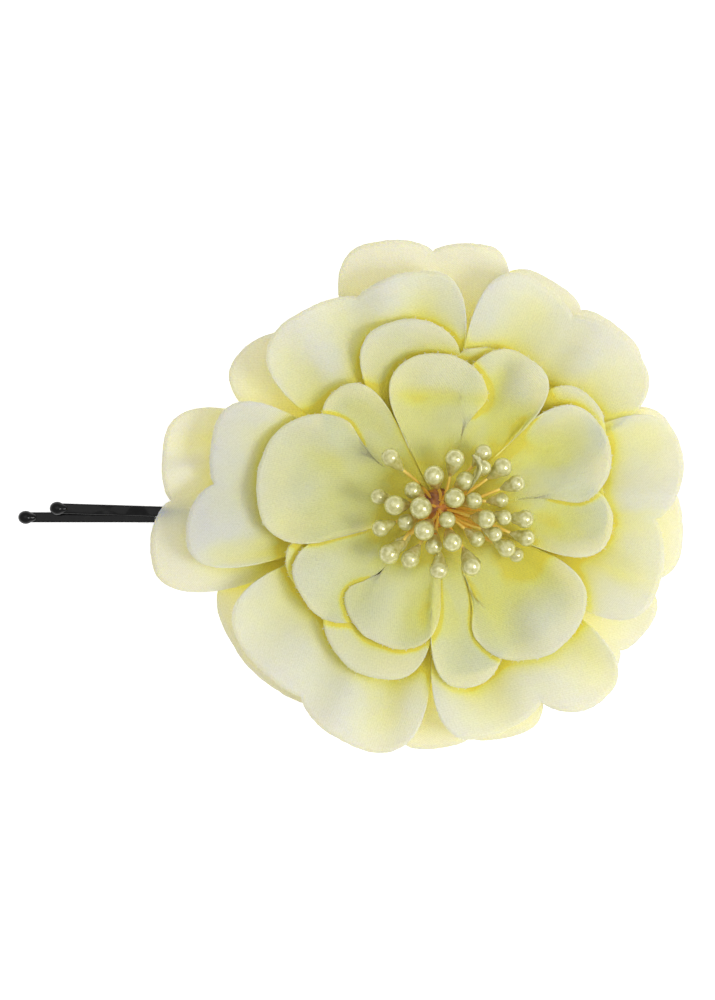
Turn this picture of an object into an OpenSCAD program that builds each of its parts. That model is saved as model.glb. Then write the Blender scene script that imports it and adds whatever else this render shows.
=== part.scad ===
/* [Petals] */
// Thickness of a stiffened petal
petal_t = 0.4; // [0.3:0.05:0.5]
// Radius at which every petal is caught in the core
root_r = 2.6; // [2.2:0.1:2.8]
// Sharpness of a petal's shoulders, higher is squarer
shoulder = 3.4; // [2.6:0.1:4]
// Angular width of the notch between a petal's two lobes, as a share of its half width
notch_w = 0.24; // [0.15:0.01:0.35]

/* [Flower] */
// How far the flower's axis sits to one side of the pin's centreline
flower_y = 1.5; // [0:0.1:2]
// Radius of the bead of glue that holds the petals and the stamens
core_r = 3; // [2.9:0.1:3.4]
// Height of the core's rounded top above the table
core_top = 11.4; // [11.2:0.1:12]
// Radius of the felt disc behind the flower
felt_r = 9.5; // [8:0.5:10]
// Thickness of the felt disc
felt_t = 0.8; // [0.6:0.1:0.9]
// Diameter of a stamen's thread
thread_d = 0.4; // [0.3:0.05:0.5]

/* [Hair pin] */
// Width of the flat wire
wire_w = 1.6; // [1.4:0.1:1.8]
// Thickness of the flat wire
wire_t = 0.7; // [0.6:0.05:0.8]
// Gap between the two legs at the bend
leg_gap = 1.2; // [1.1:0.05:1.3]
// Distance from the flower's axis to the bend's centre
bend_x = 2; // [1:0.5:4]
// Distance from the flower's axis to the tip of the long straight leg
straight_reach = 64; // [60:1:68]
// Distance from the flower's axis to the tip of the short crimped leg
crimped_reach = 59; // [56:1:62]
// Depth of the crimps
crimp_depth = 0.9; // [0.5:0.1:0.9]
// Length of one crimp
crimp_pitch = 10; // [9:0.5:10]
// Sideways lean of the crimped leg
leg_skew = 1.8; // [0:0.1:2]
// Radius of the resin drop on each tip
tip_r = 1.05; // [0.95:0.05:1.15]

/* [Hidden] */
// A row of petals: root height, height of one level, power of the rise, cup and reach
OUTER_ROW = [3.9, 0.9, 2, 0.2, 40];
MID_ROW = [5.7, 0.6, 1.6, 1.5, 38];
SECOND_ROW = [7.4, 0.5, 1.6, 1, 29];
INNER_ROW = [8.9, 0.55, 1.8, 1.6, 27];

// A petal: direction of its crease, angle of its left and of its right lobe, their lengths,
// depth of the notch between them, level in its row, and rise to the rim
OUTER = [
    [91, 27, 22, 42.5, 41.5, 0.04, 1, -3.2],
    [54, 26, 26, 40, 40, 0.05, 0, -3.7],
    [5, 26, 29, 38.5, 38.5, 0.05, 1, -3.2],
    [-38, 22, 22, 38, 38, 0.05, 0, -3.7],
    [-82, 25, 24, 37.5, 37.5, 0.04, 1, -3.2],
    [-124, 25, 31, 39, 38.5, 0.05, 0, -3.7],
    [178.5, 24, 26, 45, 43.5, 0.05, 1, -0.8],
    [129, 27, 24, 39, 36, 0.05, 0, -3.7]
];
MID = [
    [111, 34, 31, 37, 36.5, 0.05, 1, 2],
    [55, 26, 32, 38, 39, 0.05, 0, 2],
    [-3, 31, 33, 38.5, 36, 0.06, 2, 2],
    [-62, 25, 31, 39, 36, 0.05, 1, 2],
    [-126, 34, 34, 39, 37, 0.04, 0, 2],
    [174, 24, 27, 39, 36.5, 0.05, 1, 2]
];
SECOND = [
    [82, 40, 36, 29.5, 26, 0.05, 0, 2.4],
    [152, 36, 34, 23.5, 22.5, 0.05, 1, 2.4],
    [222, 46, 34, 28, 25, 0.05, 2, 2.4],
    [298, 36, 34, 26, 26, 0.05, 0, 2.4],
    [14, 36, 36, 29, 26, 0.05, 1, 2.4]
];
INNER = [
    [72, 44, 30, 23.7, 27, 0.2, 3, 1.8],
    [143, 54, 27, 28.3, 23.8, 0.2, 2, 1.8],
    [228, 44, 35, 22.6, 25.2, 0.2, 1, 1.8],
    [291, 47, 25, 28.3, 28, 0.2, 0, 1.8],
    [6, 38, 28, 28, 26.8, 0.2, 1, 1.8]
];

// A stamen's head: its place from the flower's axis, its drop below the crown and its diameter
HEADS = [
    [-7.4, 7.7, 0, 2.8], [-0.8, 4.9, 0, 3.1], [2.4, 7.4, 0, 3], [6.8, 8.4, 1, 2.6],
    [6.8, 6.1, 0, 2.3], [4, 4.1, 1.7, 2.9], [9.7, 6.2, 0, 2.9], [11.8, 3.7, 0, 2.6],
    [2.3, 1.5, 0, 3.1], [5.3, 1.1, 1, 2.6], [-4, 2.7, 1.6, 2.6], [-9.2, 1.7, 1, 2.4],
    [-6.8, 0.4, 0, 3.1], [-2.8, 0, 0, 3.4], [-5, -2.2, 2, 2.6], [-8.9, -3.1, 0.5, 2.6],
    [-2.3, -3.4, 0, 3.1], [-0.8, -5.8, 2, 2.6], [1.2, -1.8, 0.5, 2.6], [2, -5.2, 0, 2.9],
    [7.1, -1.7, 0, 2.9], [9.9, -1.5, 0.2, 2.4], [13.1, -1.7, 0, 2.8], [9.5, 1.2, 1.9, 2.3],
    [5.8, -4.7, 2, 2.5], [8.5, -4, 0.3, 2.3], [13.4, -4.6, 0.5, 2.6], [10.3, -6.2, 0, 2.7],
    [11.9, -7.2, 2, 2.3], [-7.6, -7, 0, 3.1], [-4.4, -7.8, 0.6, 2.8], [-5.9, -5.6, 3.9, 2.2],
    [0, -9.4, 0, 2.9], [4.9, -8.8, 0, 3.1]
];
// Height of the crown of stamens at the axis, and how quickly it falls away
crown_z = 17;
crown_fall = 54;
// How far down inside the core the threads start, and the spread of their feet
thread_sink = 0.8;
thread_spread = 0.12;

// Grid of a petal: strips from root to rim, and from side to side
STRIPS = 6;
COLS = 12;
// How near to its radial side edge a petal's grid runs
side_end = 0.985;

// Pin: middle of the bend, middle of the crimped leg, and the crimped stretch
bend_z = wire_t + leg_gap / 2;
bend_r = leg_gap / 2;
crimped_z = wire_t * 1.5 + leg_gap;
crimp_start = -14;
crimp_count = 4;
crimp_end = crimp_start - crimp_count * crimp_pitch;
crimp_steps = 12;
tip_rise = 0.4;
// The fixed bend stops short of the moving leg, which swings towards it as the pin opens
bend_gap_angle = 20;
felt_clearance = 0.1;
felt_z = crimped_z + wire_t / 2 + felt_clearance;
glue_x = -2;
glue_len = 9;
glue_w = 4.4;
glue_drop = 0.8;

function names(stem, n) = [for (i = [1:n]) str(stem, i)];

// Radius of the petal's edge at u, from -1 at the right side to 1 at the left
function edge_r(p, u) =
    let (
        left = min(max(0.5 + u / (2 * notch_w), 0), 1),
        lobe = p[4] + (p[3] - p[4]) * left
    )
    lobe * (1 - p[5] * exp(-pow(u / notch_w, 2))) * pow(1 - pow(abs(u), shoulder), 1 / shoulder);

// Height of the petal's middle surface; a petal that droops to the table lies flat on it
function petal_z(p, row, u, r) =
    let (share = (r - root_r) / (row[4] - root_r))
    max(petal_t / 2, row[0] + p[6] * row[1] + p[7] * pow(share, row[2]) + row[3] * u * u * share);

function petal_point(p, row, u, s, side) =
    let (
        r = root_r + s * (edge_r(p, u) - root_r),
        a = u * (u > 0 ? p[1] : p[2])
    )
    [r * cos(a), r * sin(a), petal_z(p, row, u, r) + side * petal_t / 2];

// Place of a grid line across the petal, closer together near the shoulders
function across(x) = side_end * (x + sin(90 * x)) / 2;

// Two triangles for the grid cell whose corners are a, b, c and d in turn
function cell(a, b, c, d) = [[a, b, c], [a, c, d]];

module petal(p, row) {
    w = COLS + 1;
    sheet = (STRIPS + 1) * w;
    points = [
        for (side = [1, -1], i = [0:STRIPS], j = [0:COLS])
            petal_point(p, row, across(2 * j / COLS - 1), i / STRIPS, side)
    ];
    top = [
        for (i = [0:STRIPS - 1], j = [0:COLS - 1])
            each cell(i * w + j, i * w + j + 1, (i + 1) * w + j + 1, (i + 1) * w + j)
    ];
    bottom = [for (t = top) [t[2] + sheet, t[1] + sheet, t[0] + sheet]];
    rim = concat(
        [for (j = [0:COLS]) j],
        [for (i = [1:STRIPS]) i * w + COLS],
        [for (j = [COLS - 1:-1:0]) STRIPS * w + j],
        [for (i = [STRIPS - 1:-1:1]) i * w]
    );
    n = len(rim);
    wall = [
        for (k = [0:n - 1])
            each cell(rim[k], rim[k] + sheet, rim[(k + 1) % n] + sheet, rim[(k + 1) % n])
    ];
    translate([0, flower_y, 0])
        rotate(p[0])
            polyhedron(points, concat(top, bottom, wall), convexity = 6);
}

module outer_petal(i) {
    color("ivory") petal(OUTER[i], OUTER_ROW);
}

module mid_petal(i) {
    color("cornsilk") petal(MID[i], MID_ROW);
}

module second_petal(i) {
    color("lemonchiffon") petal(SECOND[i], SECOND_ROW);
}

module inner_petal(i) {
    color("khaki") petal(INNER[i], INNER_ROW);
}

function head_place(h) =
    [h[0], h[1], crown_z - h[2] - (h[0] * h[0] + h[1] * h[1]) / crown_fall];

function thread_foot(h) = [h[0] * thread_spread, h[1] * thread_spread, core_top - thread_sink];

// Stands its child, drawn along +Z, at a and aims it from a to b
module aim(a, b) {
    v = b - a;
    translate(a)
        rotate([0, acos(v[2] / norm(v)), atan2(v[1], v[0])])
            children();
}

// Drop-shaped head drawn from its middle, its narrow end down on the thread
module head(d) {
    neck_low = 0.8 * d;
    neck_len = 0.6 * d;
    neck_narrow = 0.3 * d;
    neck_wide = 0.86 * d;
    sphere(d = d, $fn = 32);
    translate([0, 0, -neck_low])
        cylinder(h = neck_len, d1 = neck_narrow, d2 = neck_wide, $fn = 32);
}

module stamen_heads() {
    color("beige")
        translate([0, flower_y, 0])
            for (h = HEADS)
                let (foot = thread_foot(h), place = head_place(h))
                    aim(place, place + (place - foot)) head(h[3]);
}

module stamen_threads() {
    color("gold")
        translate([0, flower_y, 0])
            for (h = HEADS)
                let (foot = thread_foot(h), place = head_place(h))
                    aim(foot, place)
                        cylinder(d = thread_d, h = norm(place - foot) - h[3] / 2, $fn = 16);
}

module flower_core() {
    crown = 1.2;
    rim_in = 0.35;
    rim_drop = crown / 3;
    base = felt_z + felt_t;
    color("darkorange")
        translate([0, flower_y, 0])
            rotate_extrude($fn = 48)
                polygon([
                    [0, base], [core_r, base], [core_r, core_top - crown],
                    [core_r - rim_in, core_top - rim_drop], [core_r - crown, core_top], [0, core_top]
                ]);
}

module felt_backing() {
    color("wheat")
        translate([0, flower_y, felt_z])
            cylinder(r = felt_r, h = felt_t, $fn = 96);
}

// Middle of the crimped leg's thickness at a place along it
function crimp_z(x) =
    x > crimp_start ? crimped_z
    : x > crimp_end ? crimped_z - crimp_depth * (1 - cos(360 * (x - crimp_start) / crimp_pitch)) / 2
    : crimped_z + tip_rise * (1 - cos(90 * (x - crimp_end) / (crimped_reach + crimp_end)));

// Flat wire on edge along a list of places, following the crimps
module leg_side(xs) {
    translate([0, wire_w / 2, 0])
        rotate([90, 0, 0])
            linear_extrude(height = wire_w)
                polygon(concat(
                    [for (x = xs) [x, crimp_z(x) + wire_t / 2]],
                    [for (i = [len(xs) - 1:-1:0]) [xs[i], crimp_z(xs[i]) - wire_t / 2]]
                ));
}

module bend() {
    translate([bend_x, 0, bend_z])
        rotate([90, 0, 0])
            rotate([0, 0, bend_gap_angle - 90])
                rotate_extrude(angle = 180 - bend_gap_angle, $fn = 96)
                    translate([bend_r, -wire_w / 2])
                        square([wire_t, wire_w]);
}

// Straight stretch between the bend and the first crimp
module straight_root() {
    translate([crimp_start, -wire_w / 2, crimped_z - wire_t / 2])
        cube([bend_x - crimp_start, wire_w, wire_t]);
}

// Leans its child sideways from the first crimp on
module lean() {
    translate([crimp_start, 0, 0])
        rotate(-leg_skew)
            translate([-crimp_start, 0, 0])
                children();
}

// The bend and the crimped leg above it are one stretch of wire
module pin_crimped_leg() {
    step = crimp_pitch / crimp_steps;
    tip_run = 4;
    mitre = 0.2;
    xs = concat(
        [crimp_start + mitre],
        [for (i = [1:crimp_count * crimp_steps]) crimp_start - i * step],
        [for (i = [1:tip_run]) crimp_end - i * (crimped_reach + crimp_end) / tip_run]
    );
    color("black") {
        bend();
        straight_root();
        lean() leg_side(xs);
    }
}

module crimped_leg_tip() {
    color("dimgray")
        lean()
            translate([-crimped_reach, 0, crimped_z + tip_rise])
                sphere(r = tip_r, $fn = 48);
}

module pin_straight_leg() {
    color("black")
        translate([-straight_reach, -wire_w / 2, 0])
            cube([straight_reach + bend_x, wire_w, wire_t]);
}

module straight_leg_tip() {
    color("dimgray")
        translate([-straight_reach, 0, tip_r])
            sphere(r = tip_r, $fn = 48);
}

// Bead of hot glue that holds the crimped leg against the felt
module pin_glue() {
    color("gainsboro")
        difference() {
            translate([glue_x, 0, felt_z - glue_drop])
                linear_extrude(height = glue_drop) {
                    translate([-glue_len, -glue_w / 2]) square([glue_len, glue_w]);
                    for (x = [0, -glue_len]) translate([x, 0]) circle(d = glue_w, $fn = 48);
                }
            straight_root();
        }
}

for (i = [0:len(OUTER) - 1])
    outer_petal(i);
for (i = [0:len(MID) - 1])
    mid_petal(i);
for (i = [0:len(SECOND) - 1])
    second_petal(i);
for (i = [0:len(INNER) - 1])
    inner_petal(i);
stamen_heads();
stamen_threads();
flower_core();
felt_backing();
pin_glue();
pin_crimped_leg();
crimped_leg_tip();
pin_straight_leg();
straight_leg_tip();
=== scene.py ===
"""Looks of the flower hair clip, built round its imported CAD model.

Lengths are in millimetres and angles in degrees until a mesh is made; MM turns them into metres.
"""

import math
import random

import bmesh
import bpy
from mathutils import Matrix, Vector, noise
from mathutils.bvhtree import BVHTree


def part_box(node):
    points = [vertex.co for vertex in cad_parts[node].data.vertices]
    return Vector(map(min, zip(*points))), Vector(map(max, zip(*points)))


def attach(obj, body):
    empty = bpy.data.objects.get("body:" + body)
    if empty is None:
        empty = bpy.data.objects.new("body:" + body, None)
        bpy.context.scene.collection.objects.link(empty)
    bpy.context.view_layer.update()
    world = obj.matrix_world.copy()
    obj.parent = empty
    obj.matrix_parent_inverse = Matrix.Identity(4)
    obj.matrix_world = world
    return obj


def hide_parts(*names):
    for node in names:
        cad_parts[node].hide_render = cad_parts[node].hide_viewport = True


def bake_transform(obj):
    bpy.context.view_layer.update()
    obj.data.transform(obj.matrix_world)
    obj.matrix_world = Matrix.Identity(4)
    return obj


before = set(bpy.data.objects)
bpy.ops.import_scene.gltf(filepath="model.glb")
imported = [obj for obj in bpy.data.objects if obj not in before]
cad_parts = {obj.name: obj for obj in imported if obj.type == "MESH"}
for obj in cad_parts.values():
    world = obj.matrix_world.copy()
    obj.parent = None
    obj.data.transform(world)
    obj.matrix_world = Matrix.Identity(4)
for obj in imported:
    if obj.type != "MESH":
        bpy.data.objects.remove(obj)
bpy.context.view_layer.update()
MM = 0.001

# --------------------------------------------------------------- places taken from the frame
CORE_LOW, CORE_HIGH = (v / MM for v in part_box("flower_core"))
AXIS_Y = (CORE_LOW.y + CORE_HIGH.y) / 2
# radius at which the petals leave the core, and the one at which the yellow dye has run out
ROOT_R = 2.6
DYE_REACH = 42


# --------------------------------------------------------------- small maths helpers
def smooth(a, b, x):
    """0 before a, 1 after b, and a smooth step between them."""
    t = min(max((x - a) / (b - a), 0.0), 1.0)
    return t * t * (3 - 2 * t)


def bell(x, width):
    """1 at 0, falling smoothly to both sides."""
    return math.exp(-((x / width) ** 2))


def polar(angle, radius):
    """The point at that angle and radius from the flower's axis."""
    a = math.radians(angle)
    return radius * math.cos(a), radius * math.sin(a)


def new_object(name, mesh, material, body="flower", node=None):
    """Puts a mesh in the scene, rides it on its body and hides the CAD part that it stands for."""
    piece = bpy.data.objects.new(name, mesh)
    bpy.context.scene.collection.objects.link(piece)
    piece.data.materials.append(material)
    if body:
        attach(piece, body)
    if node:
        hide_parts(node)
    return piece


def shade_smooth(mesh):
    mesh.polygons.foreach_set("use_smooth", [True] * len(mesh.polygons))


def mesh_from(grid, name, smooth_faces=True):
    """Turns a finished bmesh into a mesh whose faces point outwards."""
    bmesh.ops.recalc_face_normals(grid, faces=grid.faces)
    mesh = bpy.data.meshes.new(name)
    grid.to_mesh(mesh)
    grid.free()
    if smooth_faces:
        shade_smooth(mesh)
    return mesh


def loft(grid, rings):
    """Joins each ring of points to the next one and closes both ends."""
    grid.faces.new(rings[0][::-1])
    for before, ring in zip(rings, rings[1:]):
        for k in range(len(ring)):
            n = (k + 1) % len(ring)
            grid.faces.new((before[k], before[n], ring[n], ring[k]))
    grid.faces.new(rings[-1])


def apply_modifiers(piece):
    """Bakes a piece's modifiers into its mesh."""
    graph = bpy.context.evaluated_depsgraph_get()
    made = bpy.data.meshes.new_from_object(piece.evaluated_get(graph))
    old = piece.data
    piece.modifiers.clear()
    piece.data = made
    bpy.data.meshes.remove(old)


# --------------------------------------------------------------- node helpers
def new_material(name):
    """A material with the parts that the functions below work on."""
    material = bpy.data.materials.new(name)
    material.use_nodes = True
    nodes = material.node_tree.nodes
    shader = nodes["Principled BSDF"]
    return material, nodes, material.node_tree.links, shader


def set_inputs(node, **values):
    """Sets a node's inputs by name; underscores stand for spaces."""
    for name, value in values.items():
        node.inputs[name.replace("_", " ")].default_value = value


def add_node(nodes, kind, **values):
    made = nodes.new(kind)
    set_inputs(made, **values)
    return made


def add_attribute(nodes, name):
    made = nodes.new("ShaderNodeAttribute")
    made.attribute_name = name
    return made.outputs


def add_noise(nodes, links, place, **values):
    made = add_node(nodes, "ShaderNodeTexNoise", **values)
    links.new(place, made.inputs["Vector"])
    return made.outputs[0]


def object_place(nodes):
    """Where a point of the piece lies, in metres."""
    return nodes.new("ShaderNodeTexCoord").outputs["Object"]


def add_math(nodes, links, operation, *values):
    """Arithmetic on numbers and on the outputs of other nodes."""
    made = nodes.new("ShaderNodeMath")
    made.operation = operation
    for socket, value in zip(made.inputs, values):
        if isinstance(value, (int, float)):
            socket.default_value = value
        else:
            links.new(value, socket)
    return made.outputs[0]


def add_sum(nodes, links, base, extra, weight):
    """base + weight * extra, as a node."""
    return add_math(nodes, links, "MULTIPLY_ADD", extra, weight, base)


def add_ramp(nodes, links, factor, stops):
    """A colour ramp through (position, colour) stops."""
    made = nodes.new("ShaderNodeValToRGB")
    ramp = made.color_ramp
    while len(ramp.elements) < len(stops):
        ramp.elements.new(0.5)
    for element, (position, colour) in zip(ramp.elements, stops):
        element.position = position
        element.color = (*colour, 1)
    links.new(factor, made.inputs[0])
    return made.outputs[0]


def add_mix(nodes, links, factor, a, b, blend="MIX"):
    """Mixes colours a and b; each may be a colour or the output of another node."""
    made = nodes.new("ShaderNodeMix")
    made.data_type = "RGBA"
    made.blend_type = blend
    for socket, value in zip((made.inputs[0], made.inputs[6], made.inputs[7]), (factor, a, b)):
        if isinstance(value, (int, float)):
            socket.default_value = value
        elif isinstance(value, tuple):
            socket.default_value = (*value, 1)
        else:
            links.new(value, socket)
    return made.outputs[2]


def add_bump(nodes, links, shader, height, strength, distance):
    """Gives the shader a fine relief, up to the distance in metres."""
    made = add_node(nodes, "ShaderNodeBump", Strength=strength, Distance=distance)
    links.new(height, made.inputs["Height"])
    links.new(made.outputs[0], shader.inputs["Normal"])
    return made.outputs[0]


# --------------------------------------------------------------- materials
def petal_material():
    """Stiffened satin: fine diagonal weave, ivory rims, creamy yellow towards the roots, and painted
    shade: deeper yellow in crevices, under the stamen heads and in pressed hollows.
    """
    material, nodes, links, shader = new_material("petal_satin")
    flat = add_attribute(nodes, "flat")["Vector"]
    share, rim, shade, relief = (
        add_attribute(nodes, name)["Fac"] for name in ("share", "rim", "shade", "relief"))

    # how yellow a place is: dye that is most at the root and least at the rim, plus painted shade that
    # deepens the yellow in crevices, under the heads and in hollows
    cloud = add_noise(nodes, links, flat, Scale=0.16, Detail=3.0, Roughness=0.55)
    root = add_ramp(nodes, links, share, [
        (0.0, (1.0, 1.0, 1.0)), (0.1, (0.88, 0.88, 0.88)), (0.22, (0.70, 0.70, 0.70)),
        (0.60, (0.44, 0.44, 0.44)), (0.95, (0.02, 0.02, 0.02))])
    dye_and_painted_shade = add_sum(nodes, links, root, cloud, 0.18)
    # painted shade: more yellow where petals and stamen heads hide the sky above the cloth
    painted_crevice_shade = add_math(nodes, links, "MINIMUM", shade, 0.2)
    dye_and_painted_shade = add_sum(nodes, links, dye_and_painted_shade, painted_crevice_shade, 2.4)
    dye_and_painted_shade = add_sum(nodes, links, dye_and_painted_shade, rim, -0.10)
    # painted shade: pressed hollows come out yellower and ridges paler
    dye_and_painted_shade = add_sum(nodes, links, dye_and_painted_shade, relief, -0.15)
    base = add_ramp(nodes, links, dye_and_painted_shade, [
        (0.08, (0.72, 0.715, 0.665)),
        (0.32, (0.80, 0.79, 0.59)),
        (0.62, (0.89, 0.85, 0.41)),
        (0.90, (0.96, 0.88, 0.19)),
        (1.00, (0.98, 0.78, 0.06)),
    ])

    # two sets of crossing threads, each with its turn and its pitch, under a fine grain
    threads = []
    for turn, pitch in ((38, 0.26), (-52, 0.21)):
        turned = add_node(nodes, "ShaderNodeMapping", Rotation=(0, 0, math.radians(turn)))
        links.new(flat, turned.inputs["Vector"])
        wave = add_node(nodes, "ShaderNodeTexWave", Distortion=2.2, Detail=2.0, Detail_Scale=1.5,
                        Scale=math.pi / 10 / pitch)
        links.new(turned.outputs[0], wave.inputs["Vector"])
        threads.append(wave.outputs["Fac"])
    weave = add_math(nodes, links, "MULTIPLY", *threads)
    grain = add_noise(nodes, links, flat, Scale=3.4, Detail=3.0, Roughness=0.7)
    cloth = add_sum(nodes, links, grain, weave, 0.35)
    hollows = add_ramp(nodes, links, cloth, [(0.35, (0.84, 0.835, 0.77)), (0.75, (1, 1, 1))])
    woven = add_mix(nodes, links, 1.0, base, hollows, "MULTIPLY")
    links.new(woven, shader.inputs["Base Color"])
    add_bump(nodes, links, shader, cloth, 0.7, 0.00016)
    set_inputs(shader, Roughness=0.5, Specular_IOR_Level=0.6, Sheen_Weight=0.15, Sheen_Roughness=0.4,
               Sheen_Tint=(1.0, 0.98, 0.9, 1), Subsurface_Weight=0.65,
               Subsurface_Radius=(1.0, 0.8, 0.25), Subsurface_Scale=0.0016)
    return material


def pearl_material():
    """Pearl lacquer over a stamen's head: greenish cream, finely mottled, under a clear gloss."""
    material, nodes, links, shader = new_material("stamen_pearl")
    place = object_place(nodes)
    mottle = add_noise(nodes, links, place, Scale=1400.0, Detail=4.0, Roughness=0.6)
    base = add_ramp(nodes, links, mottle, [
        (0.25, (0.38, 0.35, 0.07)),
        (0.50, (0.60, 0.57, 0.20)),
        (0.78, (0.82, 0.80, 0.46)),
    ])
    # a rare speck of amber glue
    speck = add_node(nodes, "ShaderNodeTexVoronoi", Scale=260.0)
    links.new(place, speck.inputs["Vector"])
    spot = add_ramp(nodes, links, speck.outputs["Distance"], [(0.05, (1, 1, 1)), (0.08, (0, 0, 0))])
    spotted = add_mix(nodes, links, spot, base, (0.78, 0.24, 0.03))
    links.new(spotted, shader.inputs["Base Color"])
    pitted = add_bump(nodes, links, shader, mottle, 0.3, 0.0001)
    links.new(pitted, shader.inputs["Coat Normal"])
    set_inputs(shader, Metallic=0.25, Roughness=0.30, Coat_Weight=1.0, Coat_IOR=2.0,
               Coat_Roughness=0.13)
    return material


def thread_material():
    """Waxed yellow thread, darker and more orange towards the glue."""
    material, nodes, links, shader = new_material("stamen_thread")
    fibre = add_noise(nodes, links, object_place(nodes), Scale=900.0, Detail=3.0)
    base = add_ramp(nodes, links, add_attribute(nodes, "share")["Fac"], [
        (0.0, (0.66, 0.22, 0.01)),
        (0.35, (0.88, 0.50, 0.05)),
        (1.0, (0.88, 0.70, 0.18)),
    ])
    tinted = add_mix(nodes, links, fibre, base, (0.90, 0.62, 0.10))
    links.new(tinted, shader.inputs["Base Color"])
    add_bump(nodes, links, shader, fibre, 0.3, 0.00005)
    set_inputs(shader, Roughness=0.45, Subsurface_Weight=0.2, Subsurface_Radius=(1.0, 0.6, 0.2),
               Subsurface_Scale=0.0006)
    return material


def fibre_material():
    """Loose threads drawn from the satin's cut edges: pale ivory, a little uneven."""
    material, nodes, links, shader = new_material("loose_fibre")
    uneven = add_noise(nodes, links, object_place(nodes), Scale=600.0, Detail=2.0)
    base = add_ramp(nodes, links, uneven, [(0.3, (0.86, 0.85, 0.72)), (0.7, (0.93, 0.93, 0.86))])
    links.new(base, shader.inputs["Base Color"])
    set_inputs(shader, Roughness=0.6, Sheen_Weight=0.3)
    return material


def glue_material(name, dark, light, roughness):
    """Set glue, with streaks between a dark and a light colour."""
    material, nodes, links, shader = new_material(name)
    streak = add_noise(nodes, links, object_place(nodes), Scale=520.0, Detail=4.0, Distortion=0.6)
    base = add_ramp(nodes, links, streak, [(0.35, dark), (0.6, light)])
    links.new(base, shader.inputs["Base Color"])
    add_bump(nodes, links, shader, streak, 0.4, 0.0002)
    set_inputs(shader, Roughness=roughness, Coat_Weight=0.15)
    return material


def felt_material():
    """Pressed felt: matted short fibres."""
    material, nodes, links, shader = new_material("backing_felt")
    matted = add_noise(nodes, links, object_place(nodes), Scale=1800.0, Detail=6.0, Roughness=0.7,
                       Distortion=1.2)
    base = add_ramp(nodes, links, matted, [(0.3, (0.66, 0.61, 0.42)), (0.7, (0.86, 0.83, 0.66))])
    links.new(base, shader.inputs["Base Color"])
    add_bump(nodes, links, shader, matted, 0.7, 0.0002)
    set_inputs(shader, Roughness=0.95, Sheen_Weight=0.4)
    return material


def lacquer_material(name, wear):
    """Black gloss lacquer, with fine dull rubbing where wear is above 0."""
    material, nodes, links, shader = new_material(name)
    rub = add_noise(nodes, links, object_place(nodes), Scale=700.0, Detail=5.0, Roughness=0.65)
    base = add_ramp(nodes, links, rub, [
        (0.45, (0.003, 0.003, 0.003)),
        (0.75, (0.003 + wear, 0.003 + wear, 0.003 + wear)),
    ])
    links.new(base, shader.inputs["Base Color"])
    rough = add_math(nodes, links, "MULTIPLY_ADD", rub, 0.25, 0.06)
    links.new(rough, shader.inputs["Roughness"])
    add_bump(nodes, links, shader, rub, 0.08, 0.0001)
    set_inputs(shader, Specular_IOR_Level=0.1, Coat_Weight=0.22, Coat_Roughness=0.05)
    return material


SATIN = petal_material()
PEARL = pearl_material()
THREAD = thread_material()
AMBER = glue_material("core_amber", (0.17, 0.04, 0.003), (0.56, 0.21, 0.01), 0.3)
CLEAR = glue_material("hot_glue", (0.60, 0.56, 0.40), (0.76, 0.73, 0.60), 0.35)
FELT = felt_material()
FIBRE = fibre_material()
LACQUER = lacquer_material("pin_lacquer", 0.006)
RESIN = lacquer_material("tip_resin", 0.002)

# --------------------------------------------------------------- petals
# A row: root height, height of one level, power of the rise, rise of the lobes' sides, radius of
# the row, how gently the lobes curve into the notch, and how full their sides are
ROW_FACTS = ("root", "step", "power", "cup", "reach", "cleft", "round")
ROWS = {
    "outer": (3.9, 0.6, 2, 0.2, 40, 0.6, 2.5),
    "mid": (5.6, 0.3, 1.6, 1.2, 38, 0.7, 3.0),
    "second": (7.0, 0.3, 1.6, 0.8, 29, 0.6, 2.8),
    "inner": (8.6, 0.3, 1.8, 1.2, 27, 0.4, 2.9),
}
# A petal: direction of its crease, angles of its left and right lobes, their lengths, depth of
# the notch, level in its row, rise to the rim, and how far its left lobe laps over its right one
PETALS = {
    "outer": [
        (91, 27, 22, 42.5, 41.5, 0.04, 1, -3.2, 0),
        (54, 26, 26, 40, 40, 0.05, 0, -3.7, 0),
        (5, 26, 29, 38.5, 38.5, 0.05, 1, -3.2, 0),
        (-38, 22, 22, 38, 38, 0.05, 0, -3.7, 0),
        (-82, 25, 24, 37.5, 37.5, 0.04, 1, -3.2, 0),
        (-124, 25, 46, 39, 38.5, 0.05, 0, -3.7, 0),
        (178.5, 24, 26, 45, 43.5, 0.05, 1, -0.8, 0),
        (129, 27, 24, 39, 36, 0.05, 0, -3.7, 0),
    ],
    "mid": [
        (111, 34, 31, 37, 36.5, 0.05, 1, 2, 0),
        (55, 26, 32, 38, 39, 0.05, 0, 2, 0),
        (-3, 31, 33, 38.5, 36, 0.07, 2, 2, 0),
        (-62, 25, 31, 39, 36, 0.06, 1, 2, 0),
        (-126, 34, 34, 39, 37, 0.03, 0, 2, 0),
        (174, 24, 27, 39, 36.5, 0.05, 1, 2, 0),
    ],
    "second": [
        (82, 40, 36, 29.5, 26, 0.08, 0, 1.8, 0),
        (152, 36, 34, 23.5, 22.5, 0.08, 1, 1.8, 0),
        (222, 46, 34, 28, 25, 0.08, 2, 1.8, 0),
        (298, 36, 34, 26, 26, 0.08, 0, 1.8, 0),
        (14, 36, 36, 29, 26, 0.08, 1, 1.8, 0),
    ],
    "inner": [
        (72, 44, 30, 23.7, 27, 0.45, 3, 0.3, 10),
        (143, 54, 27, 28.3, 23.8, 0.45, 2, 0.3, 9),
        (228, 44, 35, 22.6, 25.2, 0.40, 1, 0.3, 12),
        (291, 47, 25, 28.3, 28, 0.50, 0, 0.3, 8),
        (6, 38, 28, 28, 26.8, 0.42, 1, 0.3, 7),
    ],
}
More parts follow.
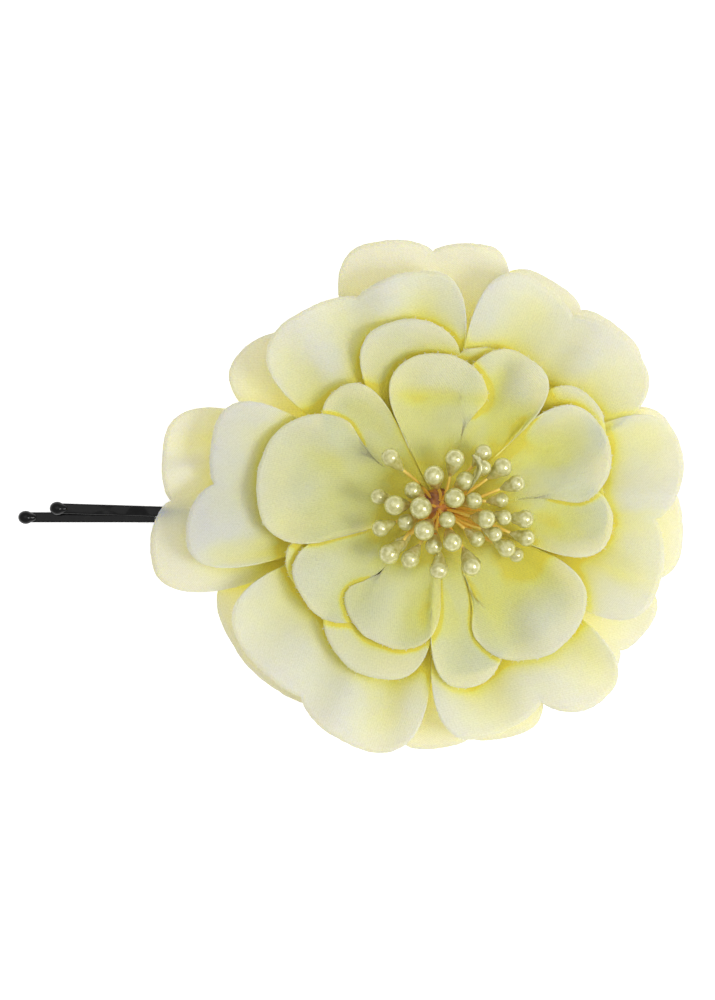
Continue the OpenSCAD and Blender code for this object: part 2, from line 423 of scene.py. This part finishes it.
# Hand-pressed dents and ridges of a petal: direction from the flower's axis, radius, half-length,
# half-width, turn of the long side from the radial line, and height (below 0 is a dent)
DENTS = {
    "outer_petal_1": [(100, 33, 9, 4, 0, 0.5), (82, 33, 9, 4, 0, 0.5)],
    "outer_petal_7": [(166, 37, 8, 3, 10, -1.0), (171, 39.5, 9, 1.6, 25, 0.9), (-179, 41, 6, 3, 10, -0.8),
                      (-169, 40, 8, 5, 0, 0.6)],
    "outer_petal_8": [(140, 34, 8, 4, 10, 0.6)],
    "mid_petal_1": [(127, 28, 12, 3.6, 0, 1.3), (117, 32, 8, 4, 0, -0.7), (104, 32, 8, 3.4, -8, 0.9),
                    (94, 32, 8, 4, 0, -0.8), (139, 28, 8, 4, 0, -0.7)],
    "mid_petal_2": [(76, 31, 9, 4.2, 0, 0.9), (63, 32, 7, 4, 0, -1.0), (51, 28, 7, 2.2, 0, -0.9),
                    (46, 34, 7, 4, 0, 0.9), (36, 32, 8, 4, 0, -0.6)],
    "mid_petal_3": [(18, 35, 6, 4, 0, -0.8), (3, 33, 10, 2.8, 0, 1.1), (-5, 33, 8, 3, 0, -0.6),
                    (-19, 31, 10, 2.2, -12, -1.2), (-27, 31, 9, 3.4, 0, 0.9)],
    "mid_petal_4": [(-46, 33, 8, 3.6, 10, -1.1), (-56, 32, 9, 3.6, 0, 1.0), (-74, 30, 7, 4, -5, -1.1),
                    (-88, 28, 9, 3.2, 0, 0.9), (-66, 31, 9, 3, 0, 0.5)],
    "mid_petal_5": [(-116, 31, 11, 3, 0, 1.2), (-105, 31, 8, 4, 0, -1.0), (-134, 33, 8, 5, 0, 0.9),
                    (-98, 33, 8, 3, 0, 0.7), (-147, 30, 8, 4, 0, -0.5)],
    "mid_petal_6": [(-167, 30, 12, 2.6, 0, -1.4), (-175, 32, 10, 4, 0, 1.2), (153, 31, 9, 4.2, 0, 1.1),
                    (165, 33, 8, 3.4, 0, 0.4), (176, 26, 5, 5, 0, -0.4)],
    "inner_petal_1": [(88, 16.8, 8, 1.2, 90, -0.7), (90, 20.5, 5, 3.2, 90, 0.7),
                      (50, 17.8, 4, 3.6, 0, -1.1), (64, 21, 7, 1.9, 0, -0.9),
                      (55, 23.5, 5, 2.6, 0, 0.7), (103, 17, 6, 3, 0, -0.5)],
    "inner_petal_2": [(163, 16.6, 6, 3.6, 20, -0.8), (172, 20, 8, 2.4, 35, 0.6), (146, 22, 8, 2.6, 0, 0.6),
                      (184, 22, 6, 3.6, 0, -0.5), (134, 24, 7, 2.2, 0, -0.5)],
    "inner_petal_3": [(259, 18, 5.5, 3.6, 0, -1.2), (241, 17, 7, 3.2, 0, 0.8), (225, 21, 6, 2.6, 0, -0.7),
                      (207, 22, 7, 3.2, 0, 0.7)],
    "inner_petal_4": [(-49, 24, 4.6, 4.2, 0, 1.2), (-36, 18, 5, 3.4, 0, -1.2),
                      (-61, 19.5, 6, 3.2, 0, -1.3), (-24, 22, 6, 3, 0, 0.5),
                      (-83, 23, 7, 2.6, 0, -0.5), (-48, 15.5, 4, 6, 0, -0.6)],
    "inner_petal_5": [(27, 19.5, 5.5, 3.6, -25, -1.3), (12, 21, 7, 3.2, 0, 0.8), (-7, 20.5, 6, 3, 0, -1.2),
                      (39, 22, 7, 3, 0, 0.7), (-17, 23, 6, 3, 0, 0.6)],
}
# Thickness of the cloth, and the least height of a petal's middle surface over the one below
PETAL_T = 0.22
DRAPE_GAP = 0.28
# Grid steps of a lobe, from its crease to its side and from its root to its cut edge
LOBE_COLS = 40
LOBE_ROWS = 40
# Where a lobe's side meets its cut edge, as a share of the lobe's length
SIDE_SHARE = 0.45
# How far the left lobe lifts and the right one sinks where the two lap
LAP_LIFT = 0.2
# How far the crevice test looks, how many ways it looks, and how far over the cloth it starts
SHADE_REACH = 7
SHADE_RAYS = 20
SHADE_START = 0.25
# Turn between one ray and the next, which spreads them evenly
GOLDEN_ANGLE = 137.508
# Height over the table from which a drape looks down for the petals below
SKY_Z = 60
# Loose threads along the cut edge of each lobe
FIBRES = 34


class Petal:
    """One two-lobed petal: where each of its points lies, flat and shaped."""

    def __init__(self, row, number, facts):
        self.name = f"{row}_petal_{number}"
        self.row = dict(zip(ROW_FACTS, ROWS[row]))
        (self.crease, self.left, self.right, self.left_len, self.right_len,
         self.notch, self.level, self.rise, self.lap) = facts
        self.seed = Vector((number * 7.3, len(row) * 3.1, facts[0] * 0.1))
        self.dents = DENTS.get(self.name, [])
        self.lobes = {side: self.lay_out(side) for side in (1, -1)}

    def lobe(self, side):
        """(angle, length) of the lobe on that side: 1 is left and -1 is right."""
        return (self.left, self.left_len) if side > 0 else (self.right, self.right_len)

    def notch_radius(self):
        return (1 - self.notch) * min(self.left_len, self.right_len)

    def edge(self, side, v):
        """Radius of the cut edge at v, from 0 at the crease to 1 at the lobe's side."""
        angle, length = self.lobe(side)
        if v < 0.5:
            base, dome = self.notch_radius(), math.sin(math.pi * v) ** self.row["cleft"]
        else:
            base = SIDE_SHARE * length
            full = self.row["round"]
            dome = max(0.0, 1 - (2 * v - 1) ** full) ** (1 / full)
        radius = base + (length - base) * dome
        along = side * v * angle
        # cut by hand: a slow wander of the scissors and a fine fray
        wander = noise.noise(Vector((along * 0.12, 0, 0)) + self.seed)
        fray = noise.noise(Vector((along * 1.3, 9, 0)) + self.seed)
        return radius + 0.35 * wander * dome + 0.09 * fray

    def height(self, side, v, radius, angle):
        """Height of the shaped petal over the table."""
        row = self.row
        share = (radius - ROOT_R) / (row["reach"] - ROOT_R)
        z = row["root"] + self.level * row["step"] + self.rise * share ** row["power"]
        z += row["cup"] * v * v * share
        x, y = polar(angle, radius)
        length = self.lobe(side)[1]
        # each lobe is hollowed with a ball tool, and its cut edge turns up a little
        z -= 0.5 * bell(v - 0.5, 0.32) * bell(radius / length - 0.68, 0.22)
        z += 0.14 * smooth(0.8, 1.0, radius / self.edge(side, v)) * smooth(0.3, 0.7, share)
        # the crease is a soft valley that fades towards the root
        z -= 0.2 * bell(v, 0.16) * smooth(0.2, 0.8, share)
        z += 0.45 * share * noise.noise(Vector((x * 0.11, y * 0.11, 0)) + self.seed)
        return z + 0.16 * share * noise.noise(Vector((x * 0.3, y * 0.3, 5)) + self.seed)

    def dent(self, x, y, angle, radius, long, wide, turn, height):
        """A smooth dent or ridge pressed into the cloth."""
        cx, cy = polar(angle, radius)
        ax, ay = polar(angle + turn, 1)
        dx, dy = x - cx, y - cy
        return height * bell(dx * ax + dy * ay, long) * bell(dy * ax - dx * ay, wide)

    def point(self, side, v, s):
        """Where a grid point lies flat and shaped, and what its look depends on."""
        angle, length = self.lobe(side)
        edge = self.edge(side, v)
        radius = ROOT_R + s * (edge - ROOT_R)
        turn = side * angle * v
        apart = smooth(self.notch_radius() * 0.98, self.notch_radius() * 1.5, radius) if self.lap else 0
        lapped = turn - side * self.lap * apart * (1 - v) ** 1.2
        x, y = polar(self.crease + lapped, radius)
        relief = sum(self.dent(x, y, *dent) for dent in self.dents)
        z = self.height(side, v, radius, self.crease + lapped) + relief
        z += side * LAP_LIFT * apart * (1 - v)
        return {
            "flat": polar(turn, radius),
            "place": Vector((x, y + AXIS_Y, z)),
            "share": (radius - ROOT_R) / (DYE_REACH - ROOT_R),
            "rim": smooth(0.9, 1.0, radius / edge),
            "shade": 0.0,
            "relief": relief,
            "apart": apart,
        }

    def lay_out(self, side):
        """The lobe's grid of points, from the root out and from the crease to the side."""
        rows = []
        for i in range(LOBE_ROWS + 1):
            s = i / LOBE_ROWS
            line = []
            for j in range(LOBE_COLS + 1):
                v = 0.25 - 0.25 * math.cos(math.pi * j / LOBE_COLS) + 0.5 * j / LOBE_COLS
                line.append(self.point(side, v, s))
            rows.append(line)
        return rows

    def points(self):
        return [point for rows in self.lobes.values() for line in rows for point in line]

    def drape(self, below):
        """Lays the petal on the ones below it, its right lobe first, and smooths the lift."""
        tree = surface_tree([rows for petal in below for rows in petal.lobes.values()])
        own = None
        for side in (-1, 1):
            rows = self.lobes[side]
            need = [[self.lift_needed(point, tree, own) for point in line] for line in rows]
            lift = [line[:] for line in need]
            for _ in range(10):
                lift = soften(lift, need)
            for line, raised in zip(rows, lift):
                for point, value in zip(line, raised):
                    point["place"].z = max(point["place"].z + value, PETAL_T / 2)
            if self.lap:
                own = surface_tree([rows])

    def lift_needed(self, point, tree, own):
        """How far the point must rise to clear the petals below and its own right lobe."""
        place = point["place"]
        above = Vector((place.x, place.y, SKY_Z))
        down = Vector((0, 0, -1))
        need = 0.0
        for surface, gap in ((tree, DRAPE_GAP), (own, DRAPE_GAP * min(1, 3 * point["apart"]))):
            hit = surface.ray_cast(above, down)[0] if surface and gap else None
            if hit:
                need = max(need, hit.z + gap - place.z)
        return need

    def build(self):
        """The petal's mesh, one grid for each lobe, joined along the crease up to the notch."""
        grid = bmesh.new()
        flat_layer = grid.verts.layers.float_vector.new("flat")
        layers = {key: grid.verts.layers.float.new(key) for key in ("share", "rim", "shade", "relief")}
        for side, rows in self.lobes.items():
            verts = []
            for line in rows:
                verts.append([])
                for point in line:
                    vert = grid.verts.new(point["place"] * MM)
                    vert[flat_layer] = (*point["flat"], 0)
                    for key, layer in layers.items():
                        vert[layer] = point[key]
                    verts[-1].append(vert)
            for low, high in zip(verts, verts[1:]):
                for j in range(LOBE_COLS):
                    corners = (low[j], low[j + 1], high[j + 1], high[j])
                    grid.faces.new(corners if side > 0 else corners[::-1])
        bmesh.ops.remove_doubles(grid, verts=grid.verts, dist=0.00004)
        bmesh.ops.recalc_face_normals(grid, faces=grid.faces)
        if sum(f.normal.z for f in grid.faces) < 0:
            bmesh.ops.reverse_faces(grid, faces=grid.faces)
        self.area = sum(f.calc_area() for f in grid.faces)
        xs, ys = zip(*(point["flat"] for point in self.points()))
        self.width, self.length = (max(ys) - min(ys)) * MM, (max(xs) - min(xs)) * MM
        mesh = bpy.data.meshes.new(self.name)
        grid.to_mesh(mesh)
        grid.free()
        shade_smooth(mesh)
        return mesh


def soften(values, least=None):
    """One smoothing pass over a grid of values, which never falls below the least ones."""
    out = []
    for i, line in enumerate(values):
        up, down = values[max(i - 1, 0)], values[min(i + 1, len(values) - 1)]
        out.append([])
        for j, value in enumerate(line):
            near = line[max(j - 1, 0)] + line[min(j + 1, len(line) - 1)] + up[j] + down[j]
            even = (near + 2 * value) / 6
            out[-1].append(max(least[i][j], even) if least else even)
    return out


def surface_tree(lobes, heads=()):
    """A search tree of the lobes' middle surfaces and of round heads, in millimetres."""
    if not lobes:
        return None
    places, faces = [], []
    for middle, _, d in heads:
        ball = bmesh.new()
        bmesh.ops.create_icosphere(ball, subdivisions=2, radius=d / 2,
                                   matrix=Matrix.Translation(middle))
        faces += [[len(places) + vert.index for vert in face.verts] for face in ball.faces]
        places += [vert.co.copy() for vert in ball.verts]
        ball.free()
    for rows in lobes:
        first, wide = len(places), len(rows[0])
        places += [point["place"] for line in rows for point in line]
        for i in range(len(rows) - 1):
            for j in range(wide - 1):
                k = first + i * wide + j
                faces.append((k, k + 1, k + wide + 1, k + wide))
    return BVHTree.FromPolygons(places, faces)


def sky_rays():
    """Directions spread over the upper half, more of them near straight up."""
    rays = []
    for k in range(SHADE_RAYS):
        tilt = math.sqrt((k + 0.5) / SHADE_RAYS)
        x, y = polar(GOLDEN_ANGLE * k, tilt)
        rays.append(Vector((x, y, math.sqrt(1 - tilt * tilt))))
    return rays


def shade_crevices(petals):
    """Sets how much of the sky the petals and stamen heads hide from each point, which the satin paints as
    shade.
    """
    lobes = [rows for petal in petals for rows in petal.lobes.values()]
    tree, rays = surface_tree(lobes, stamen_places()), sky_rays()
    for rows in lobes:
        shade = []
        for line in rows:
            shade.append([])
            for point in line:
                start = point["place"] + Vector((0, 0, SHADE_START))
                hits = [tree.ray_cast(start, ray, SHADE_REACH)[3] for ray in rays]
                shade[-1].append(sum(1 - d / SHADE_REACH for d in hits if d is not None) / SHADE_RAYS)
        for _ in range(2):
            shade = soften(shade)
        for line, values in zip(rows, shade):
            for point, value in zip(line, values):
                point["shade"] = value


def make_petal(petal):
    """Puts one shaped petal in the scene as a sheet of cloth."""
    piece = new_object(petal.name + "_satin", petal.build(), SATIN, "flower",
                       petal.name)
    solid = piece.modifiers.new("thickness", "SOLIDIFY")
    solid.thickness = PETAL_T * MM
    solid.offset = 0
    apply_modifiers(piece)


def make_petals():
    """Shapes all the petals from the lowest up, so that each lies on those below it."""
    petals = [Petal(row, number, facts) for row, group in PETALS.items()
              for number, facts in enumerate(group, 1)]
    petals.sort(key=lambda p: p.row["root"] + p.level * p.row["step"])
    for k, petal in enumerate(petals):
        petal.drape(petals[:k])
    shade_crevices(petals)
    for petal in petals:
        make_petal(petal)
    return petals


# --------------------------------------------------------------- stamens and loose threads
def lathe(grid, profile, place, aim, turns=24):
    """Turns a profile of (radius, height) about the direction aim, from place."""
    spin = aim.to_track_quat("Z", "Y").to_matrix()
    rings = []
    for radius, height in profile:
        if radius < 1e-6:
            rings.append([grid.verts.new((place + spin @ Vector((0, 0, height))) * MM)])
            continue
        ring = []
        for k in range(turns):
            x, y = polar(360 * k / turns, radius)
            ring.append(grid.verts.new((place + spin @ Vector((x, y, height))) * MM))
        rings.append(ring)
    for low, high in zip(rings, rings[1:]):
        for k in range(turns):
            a, b = low[k % len(low)], low[(k + 1) % len(low)]
            c, d = high[(k + 1) % len(high)], high[k % len(high)]
            corners = [a, b, c, d]
            unique = [q for n, q in enumerate(corners) if q not in corners[:n]]
            if len(unique) > 2:
                grid.faces.new(unique)


def islands(mesh):
    """The separate solids of a mesh, as lists of points in millimetres."""
    grid = bmesh.new()
    grid.from_mesh(mesh)
    bmesh.ops.remove_doubles(grid, verts=grid.verts, dist=1e-7)
    seen, found = set(), []
    for start in grid.verts:
        if start in seen:
            continue
        seen.add(start)
        stack, group = [start], []
        while stack:
            vert = stack.pop()
            group.append(vert.co / MM)
            for edge in vert.link_edges:
                other = edge.other_vert(vert)
                if other not in seen:
                    seen.add(other)
                    stack.append(other)
        found.append(group)
    grid.free()
    return found


CORE_TOP = Vector((0, AXIS_Y, CORE_HIGH.z))


def stamen_places():
    """(middle, direction outwards, diameter) of each head, from the CAD heads."""
    places = []
    for points in islands(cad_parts["stamen_heads"].data):
        middle = sum(points, Vector()) / len(points)
        aim = (middle - CORE_TOP + Vector((0, 0, 0.8))).normalized()
        along = [p.dot(aim) for p in points]
        across = max((p - middle - aim * (p - middle).dot(aim)).length for p in points)
        top = middle + aim * (max(along) - middle.dot(aim))
        places.append((top - aim * across, aim, 2 * across))
    return sorted(places, key=lambda s: (round(s[0].x, 2), round(s[0].y, 2)))


def head_profile(d):
    """Outline of a dipped head: a long neck on the thread that swells into a ball."""
    neck = [(0.07 * d, -1.05 * d), (0.12 * d, -0.95 * d), (0.2 * d, -0.8 * d), (0.31 * d, -0.6 * d)]
    ball = [polar(angle, d / 2) for angle in range(-40, 90, 13)]
    return [(0, -1.08 * d)] + neck + ball + [(0, d / 2)]


def make_stamens():
    """The heads, each at its CAD place, and the threads that carry them out of the glue."""
    rng = random.Random(11)
    heads, threads = bmesh.new(), bmesh.new()
    share_layer = threads.verts.layers.float.new("share")
    for middle, aim, d in stamen_places():
        lean = Vector((rng.uniform(-1, 1), rng.uniform(-1, 1), 0)) * 0.08
        lathe(heads, head_profile(d), middle, (aim + lean).normalized())
        foot = Vector((middle.x * 0.1, AXIS_Y + (middle.y - AXIS_Y) * 0.1, CORE_HIGH.z - 0.8))
        end = middle - (aim + lean).normalized() * d * 0.95
        bow = Vector((rng.uniform(-1, 1), rng.uniform(-1, 1), rng.uniform(-0.5, 0.5))) * 0.5
        add_tube(threads, share_layer, foot, end, bow)
    add_strip(heads)
    for grid, name, material, slot, node in (
        (heads, "stamen_pearls", PEARL, "stamen_pearl", "stamen_heads"),
        (threads, "stamen_stalks", THREAD, "stamen_thread", "stamen_threads"),
    ):
        new_object(name, mesh_from(grid, name), material, "flower", node)


def add_tube(grid, share_layer, start, end, bow, radius=0.24, rings=9, sides=8):
    """A thread from start to end that bows a little sideways."""
    run = []
    for i in range(rings + 1):
        t = i / rings
        middle = start.lerp(end, t) + bow * math.sin(math.pi * t)
        tangent = (end - start + bow * math.pi * math.cos(math.pi * t)).normalized()
        side = tangent.orthogonal().normalized()
        up = tangent.cross(side)
        ring = []
        for k in range(sides):
            x, y = polar(360 * k / sides, radius)
            vert = grid.verts.new((middle + side * x + up * y) * MM)
            vert[share_layer] = t
            ring.append(vert)
        run.append(ring)
    loft(grid, run)


def add_strip(grid):
    """A curled strip of dried pearl lacquer that has peeled off one of the threads."""
    bends = [(5.2, 8.1, 15.7), (6.0, 7.3, 16.6), (6.3, 6.1, 16.8), (5.6, 4.4, 16.3), (4.2, 2.4, 14.6)]
    path = [Vector((x, y + AXIS_Y, z)) for x, y, z in bends]
    for _ in range(3):
        finer = [path[0]]
        for a, b in zip(path, path[1:]):
            finer += [a.lerp(b, 0.25), a.lerp(b, 0.75)]
        path = finer + [path[-1]]
    run = []
    for i, middle in enumerate(path):
        t = i / (len(path) - 1)
        tangent = (path[min(i + 1, len(path) - 1)] - path[max(i - 1, 0)]).normalized()
        level = tangent.cross(Vector((0, 0, 1))).normalized()
        across = Matrix.Rotation(2.2 * t - 0.6, 3, tangent) @ level
        through = tangent.cross(across)
        half = 0.16 + 0.34 * math.sin(math.pi * (0.12 + 0.8 * t))
        section = ((-half, 0.0), (0.0, 0.14), (half, 0.0), (0.0, 0.02))
        run.append([grid.verts.new((middle + across * x + through * z) * MM) for x, z in section])
    loft(grid, run)


def make_fibres(petals):
    """Short loose threads that stand out of the petals' cut edges."""
    rng = random.Random(5)
    grid = bmesh.new()
    share_layer = grid.verts.layers.float.new("share")
    for petal in petals:
        for rows in petal.lobes.values():
            for _ in range(FIBRES):
                j = rng.randrange(3, LOBE_COLS - 2)
                start, beside = rows[-1][j]["place"], rows[-1][j + 1]["place"]
                inner = rows[-2][j]["place"]
                out, along = (start - inner).normalized(), (beside - start).normalized()
                way = out * rng.uniform(0.3, 1) + along * rng.uniform(-1.3, 1.3)
                way.z += rng.uniform(-0.1, 0.5)
                foot = start.lerp(beside, rng.random()) - out * 0.1
                bow = Vector((rng.uniform(-1, 1), rng.uniform(-1, 1), 0)) * 0.08
                add_tube(grid, share_layer, foot, foot + way.normalized() * rng.uniform(0.2, 0.6), bow,
                         radius=0.024, rings=4, sides=3)
    mesh = mesh_from(grid, "rim_fibres", smooth_faces=False)
    new_object("rim_fibres", mesh, FIBRE, "flower")


petals_made = make_petals()
make_stamens()
make_fibres(petals_made)


# --------------------------------------------------------------- core, felt and glue
def make_core():
    """The bead of amber glue in the middle, drawn out unevenly round the threads."""
    grid = bmesh.new()
    low, high = CORE_LOW.z, CORE_HIGH.z
    radius = (CORE_HIGH.x - CORE_LOW.x) / 2
    crown = 1.2
    profile = [(0, low), (radius, low)]
    profile += [(radius, low + (high - crown - low) * k / 8) for k in range(1, 9)]
    for a in range(10, 91, 10):
        x, y = polar(a, crown)
        profile.append((radius - crown + x if a < 90 else 0, high - crown + y))
    lathe(grid, profile, Vector((0, AXIS_Y, 0)), Vector((0, 0, 1)), turns=48)
    for vert in grid.verts:
        out = Vector((vert.co.x, vert.co.y - AXIS_Y * MM, 0))
        bumps = noise.noise(vert.co * 900)
        vert.co += out * 0.06 * bumps
        if vert.co.z > (high - crown) * MM:
            vert.co.z += 0.25 * MM * noise.noise(vert.co * 1500)
    mesh = mesh_from(grid, "flower_core_glue")
    new_object("flower_core_glue", mesh, AMBER, "flower", "flower_core")


def make_felt():
    """The felt disc, with a slightly ragged cut edge."""
    low, high = (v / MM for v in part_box("felt_backing"))
    radius = (high.x - low.x) / 2
    soft = 0.18
    profile = [(radius * k / 8, low.z) for k in range(8)]
    profile += [(radius - soft, low.z), (radius, low.z + soft)]
    profile += [(radius, high.z - soft), (radius - soft, high.z)]
    profile += [(radius * k / 8, high.z) for k in range(7, -1, -1)]
    grid = bmesh.new()
    lathe(grid, profile, Vector((0, AXIS_Y, 0)), Vector((0, 0, 1)), turns=120)
    for vert in grid.verts:
        out = Vector((vert.co.x, vert.co.y - AXIS_Y * MM, 0))
        if out.length > (radius - 1) * MM:
            vert.co -= out.normalized() * 0.15 * MM * abs(noise.noise(vert.co * 3000))
    new_object("felt_disc", mesh_from(grid, "felt_disc"), FELT, "flower", "felt_backing")


def make_glue():
    """The bead of hot glue that holds the pin to the felt, squeezed out round the wire."""
    low, high = (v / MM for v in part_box("pin_glue"))
    middle = (low + high) / 2
    half_w = (high.y - low.y) / 2
    run = (high.x - low.x) / 2 - half_w
    tall = high.z - low.z
    steps = 96
    # each ring's width as a share of the bead's and its height, from the felt down to the middle
    section = [(0.0, 1.0), (1.02, 1.0), (1.0, 0.7), (0.97, 0.42), (0.88, 0.2), (0.7, 0.06),
               (0.45, -0.04), (0.2, -0.1)]
    grid = bmesh.new()
    rings = []
    for width, share in section:
        ring = []
        for k in range(steps):
            x, y = polar(360 * (k + 0.5) / steps, width * half_w)
            edge = Vector((middle.x + x + math.copysign(run, x), middle.y + y, low.z + share * tall))
            out = Vector((x, y, 0))
            edge += out * 0.07 * noise.noise(edge * 0.9)
            edge.z -= 0.12 * (1 - share) * abs(noise.noise(edge * 0.8))
            ring.append(grid.verts.new(edge * MM))
        rings.append(ring)
    loft(grid, rings)
    bmesh.ops.remove_doubles(grid, verts=grid.verts, dist=1e-7)
    mesh = mesh_from(grid, "pin_glue_bead")
    new_object("pin_glue_bead", mesh, CLEAR, "flower", "pin_glue")


make_core()
make_felt()
make_glue()

# --------------------------------------------------------------- the pin, with the CAD model's sizes
WIRE_W, WIRE_T, LEG_GAP = 1.6, 0.7, 1.2
BEND_X = 2.0
CRIMP_START, CRIMP_PITCH, CRIMP_COUNT, CRIMP_DEPTH = -14, 10, 4, 0.9
STRAIGHT_REACH, CRIMPED_REACH, TIP_RISE, LEAN = 64, 59, 0.4, 1.8
CRIMP_END = CRIMP_START - CRIMP_COUNT * CRIMP_PITCH
LEG_Z = WIRE_T * 1.5 + LEG_GAP


def crimp_height(x):
    """Middle of the crimped leg at a place along it."""
    if x > CRIMP_START:
        return LEG_Z
    if x > CRIMP_END:
        turn = 2 * math.pi * (x - CRIMP_START) / CRIMP_PITCH
        return LEG_Z - CRIMP_DEPTH * (1 - math.cos(turn)) / 2
    turn = math.pi / 2 * (x - CRIMP_END) / (CRIMPED_REACH + CRIMP_END)
    return LEG_Z + TIP_RISE * (1 - math.cos(turn))


def leaning(x, z):
    """A point of the crimped leg, which leans sideways from its first crimp on."""
    run = max(0.0, CRIMP_START - x)
    return Vector((x + run * (1 - math.cos(math.radians(LEAN))), run * math.sin(math.radians(LEAN)), z))


def pin_path():
    """Middle of the wire, from the straight leg's tip round the bend to the crimped leg's tip."""
    straight = int(STRAIGHT_REACH + BEND_X)
    points = [Vector((k - STRAIGHT_REACH, 0, WIRE_T / 2)) for k in range(straight)]
    middle, radius = WIRE_T + LEG_GAP / 2, (LEG_GAP + WIRE_T) / 2
    for a in range(-90, 91, 9):
        x, z = polar(a, radius)
        points.append(Vector((BEND_X + x, 0, middle + z)))
    steps = int((CRIMPED_REACH + BEND_X) * 2)
    for k in range(1, steps + 1):
        x = BEND_X - k / 2
        points.append(leaning(x, crimp_height(x)))
    return points


def wire_section(corner=0.26, arc=4):
    """Outline of the flat wire: a rectangle with rounded edges, as (across, through) places."""
    outline = []
    for cx, cz, first in ((1, 1, 0), (-1, 1, 90), (-1, -1, 180), (1, -1, 270)):
        for k in range(arc + 1):
            x, z = polar(first + 90 * k / arc, corner)
            outline.append((cx * (WIRE_W / 2 - corner) + x, cz * (WIRE_T / 2 - corner) + z))
    return outline


def make_pin():
    """Both legs as one bent wire."""
    path, section = pin_path(), wire_section()
    grid = bmesh.new()
    rings = []
    for i, middle in enumerate(path):
        ahead, behind = path[min(i + 1, len(path) - 1)], path[max(i - 1, 0)]
        tangent = (ahead - behind).normalized()
        through = tangent.cross(Vector((0, 1, 0))).normalized()
        across = through.cross(tangent)
        rings.append([grid.verts.new((middle + across * x + through * z) * MM) for x, z in section])
    loft(grid, rings)
    piece = new_object("pin_wire", mesh_from(grid, "pin_wire"), LACQUER, None)
    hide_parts("pin_crimped_leg", "pin_straight_leg")
    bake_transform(piece)


def make_tip(name, node, body, aim):
    """A drop of resin dipped over the wire's end."""
    low, high = (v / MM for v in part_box(node))
    middle, r = (low + high) / 2, (high.x - low.x) / 2
    stretch = 1.12
    profile = [(0, r * stretch)]
    for a in range(80, -50, -10):
        x, y = polar(a, r)
        profile.append((x, y * stretch))
    profile += [(r * 0.5, -r * 1.25), (r * 0.4, -r * 1.5), (0, -r * 1.52)]
    grid = bmesh.new()
    lathe(grid, profile, middle, aim, turns=32)
    new_object(name, mesh_from(grid, name), RESIN, body, node)


make_pin()
make_tip("straight_tip_drop", "straight_leg_tip", "straight_leg", Vector((-1, 0, 0)))
make_tip("crimped_tip_drop", "crimped_leg_tip", "flower", Vector((-1, 0.03, 0.02)).normalized())


# --------------------------------------------------------------- stage, light and camera
def make_floor():
    """A wide pale floor, just below the surface that the clip lies on."""
    material, _, _, shader = new_material("floor_white")
    set_inputs(shader, Base_Color=(0.95, 0.95, 0.95, 1), Roughness=0.9,
               Emission_Color=(1, 1, 1, 1), Emission_Strength=0.6)
    mesh = bpy.data.meshes.new("floor")
    half, drop = 1.5, 0.0002
    corners = [(-half, -half, 0), (half, -half, 0), (half, half, 0), (-half, half, 0)]
    mesh.from_pydata(corners, [], [(0, 1, 2, 3)])
    floor = bpy.data.objects.new("floor", mesh)
    floor.location.z = -drop
    bpy.context.scene.collection.objects.link(floor)
    floor.data.materials.append(material)


def make_light(name, place, target, size, power):
    """A square lamp of that size in metres and power in watts, turned to the target."""
    data = bpy.data.lights.new(name, "AREA")
    data.size = size
    data.energy = power
    lamp = bpy.data.objects.new(name, data)
    lamp.location = place
    lamp.rotation_euler = (Vector(target) - Vector(place)).to_track_quat("-Z", "Y").to_euler()
    bpy.context.scene.collection.objects.link(lamp)


def make_world():
    """Even white light from all round."""
    world = bpy.data.worlds.new("studio")
    world.use_nodes = True
    set_inputs(world.node_tree.nodes["Background"], Color=(1, 1, 1, 1), Strength=0.6)
    bpy.context.scene.world = world


def make_camera():
    """Looks straight down on the flower's face, +Y up the frame, which is 715 by 1000."""
    target = Vector((-12.4, 2.7, 8)) * MM
    # metres from the target, metres that the frame's height takes in there, and sensor in mm
    distance, tall, sensor = 0.62, 0.1538, 36
    data = bpy.data.cameras.new("camera")
    data.sensor_width = sensor
    data.lens = sensor * distance / tall
    data.clip_start, data.clip_end = 0.01, 10
    camera = bpy.data.objects.new("camera", data)
    camera.location = target + Vector((0, 0, distance))
    bpy.context.scene.collection.objects.link(camera)
    bpy.context.scene.camera = camera


make_floor()
make_world()
make_light("key", (0.32, -0.08, 0.42), (0, 0, 0.01), 0.18, 1.25)
make_light("overhead", (-0.05, 0.10, 0.60), (0, 0, 0.01), 0.50, 0.55)
make_camera()
bpy.context.scene.view_settings.view_transform = "Standard"
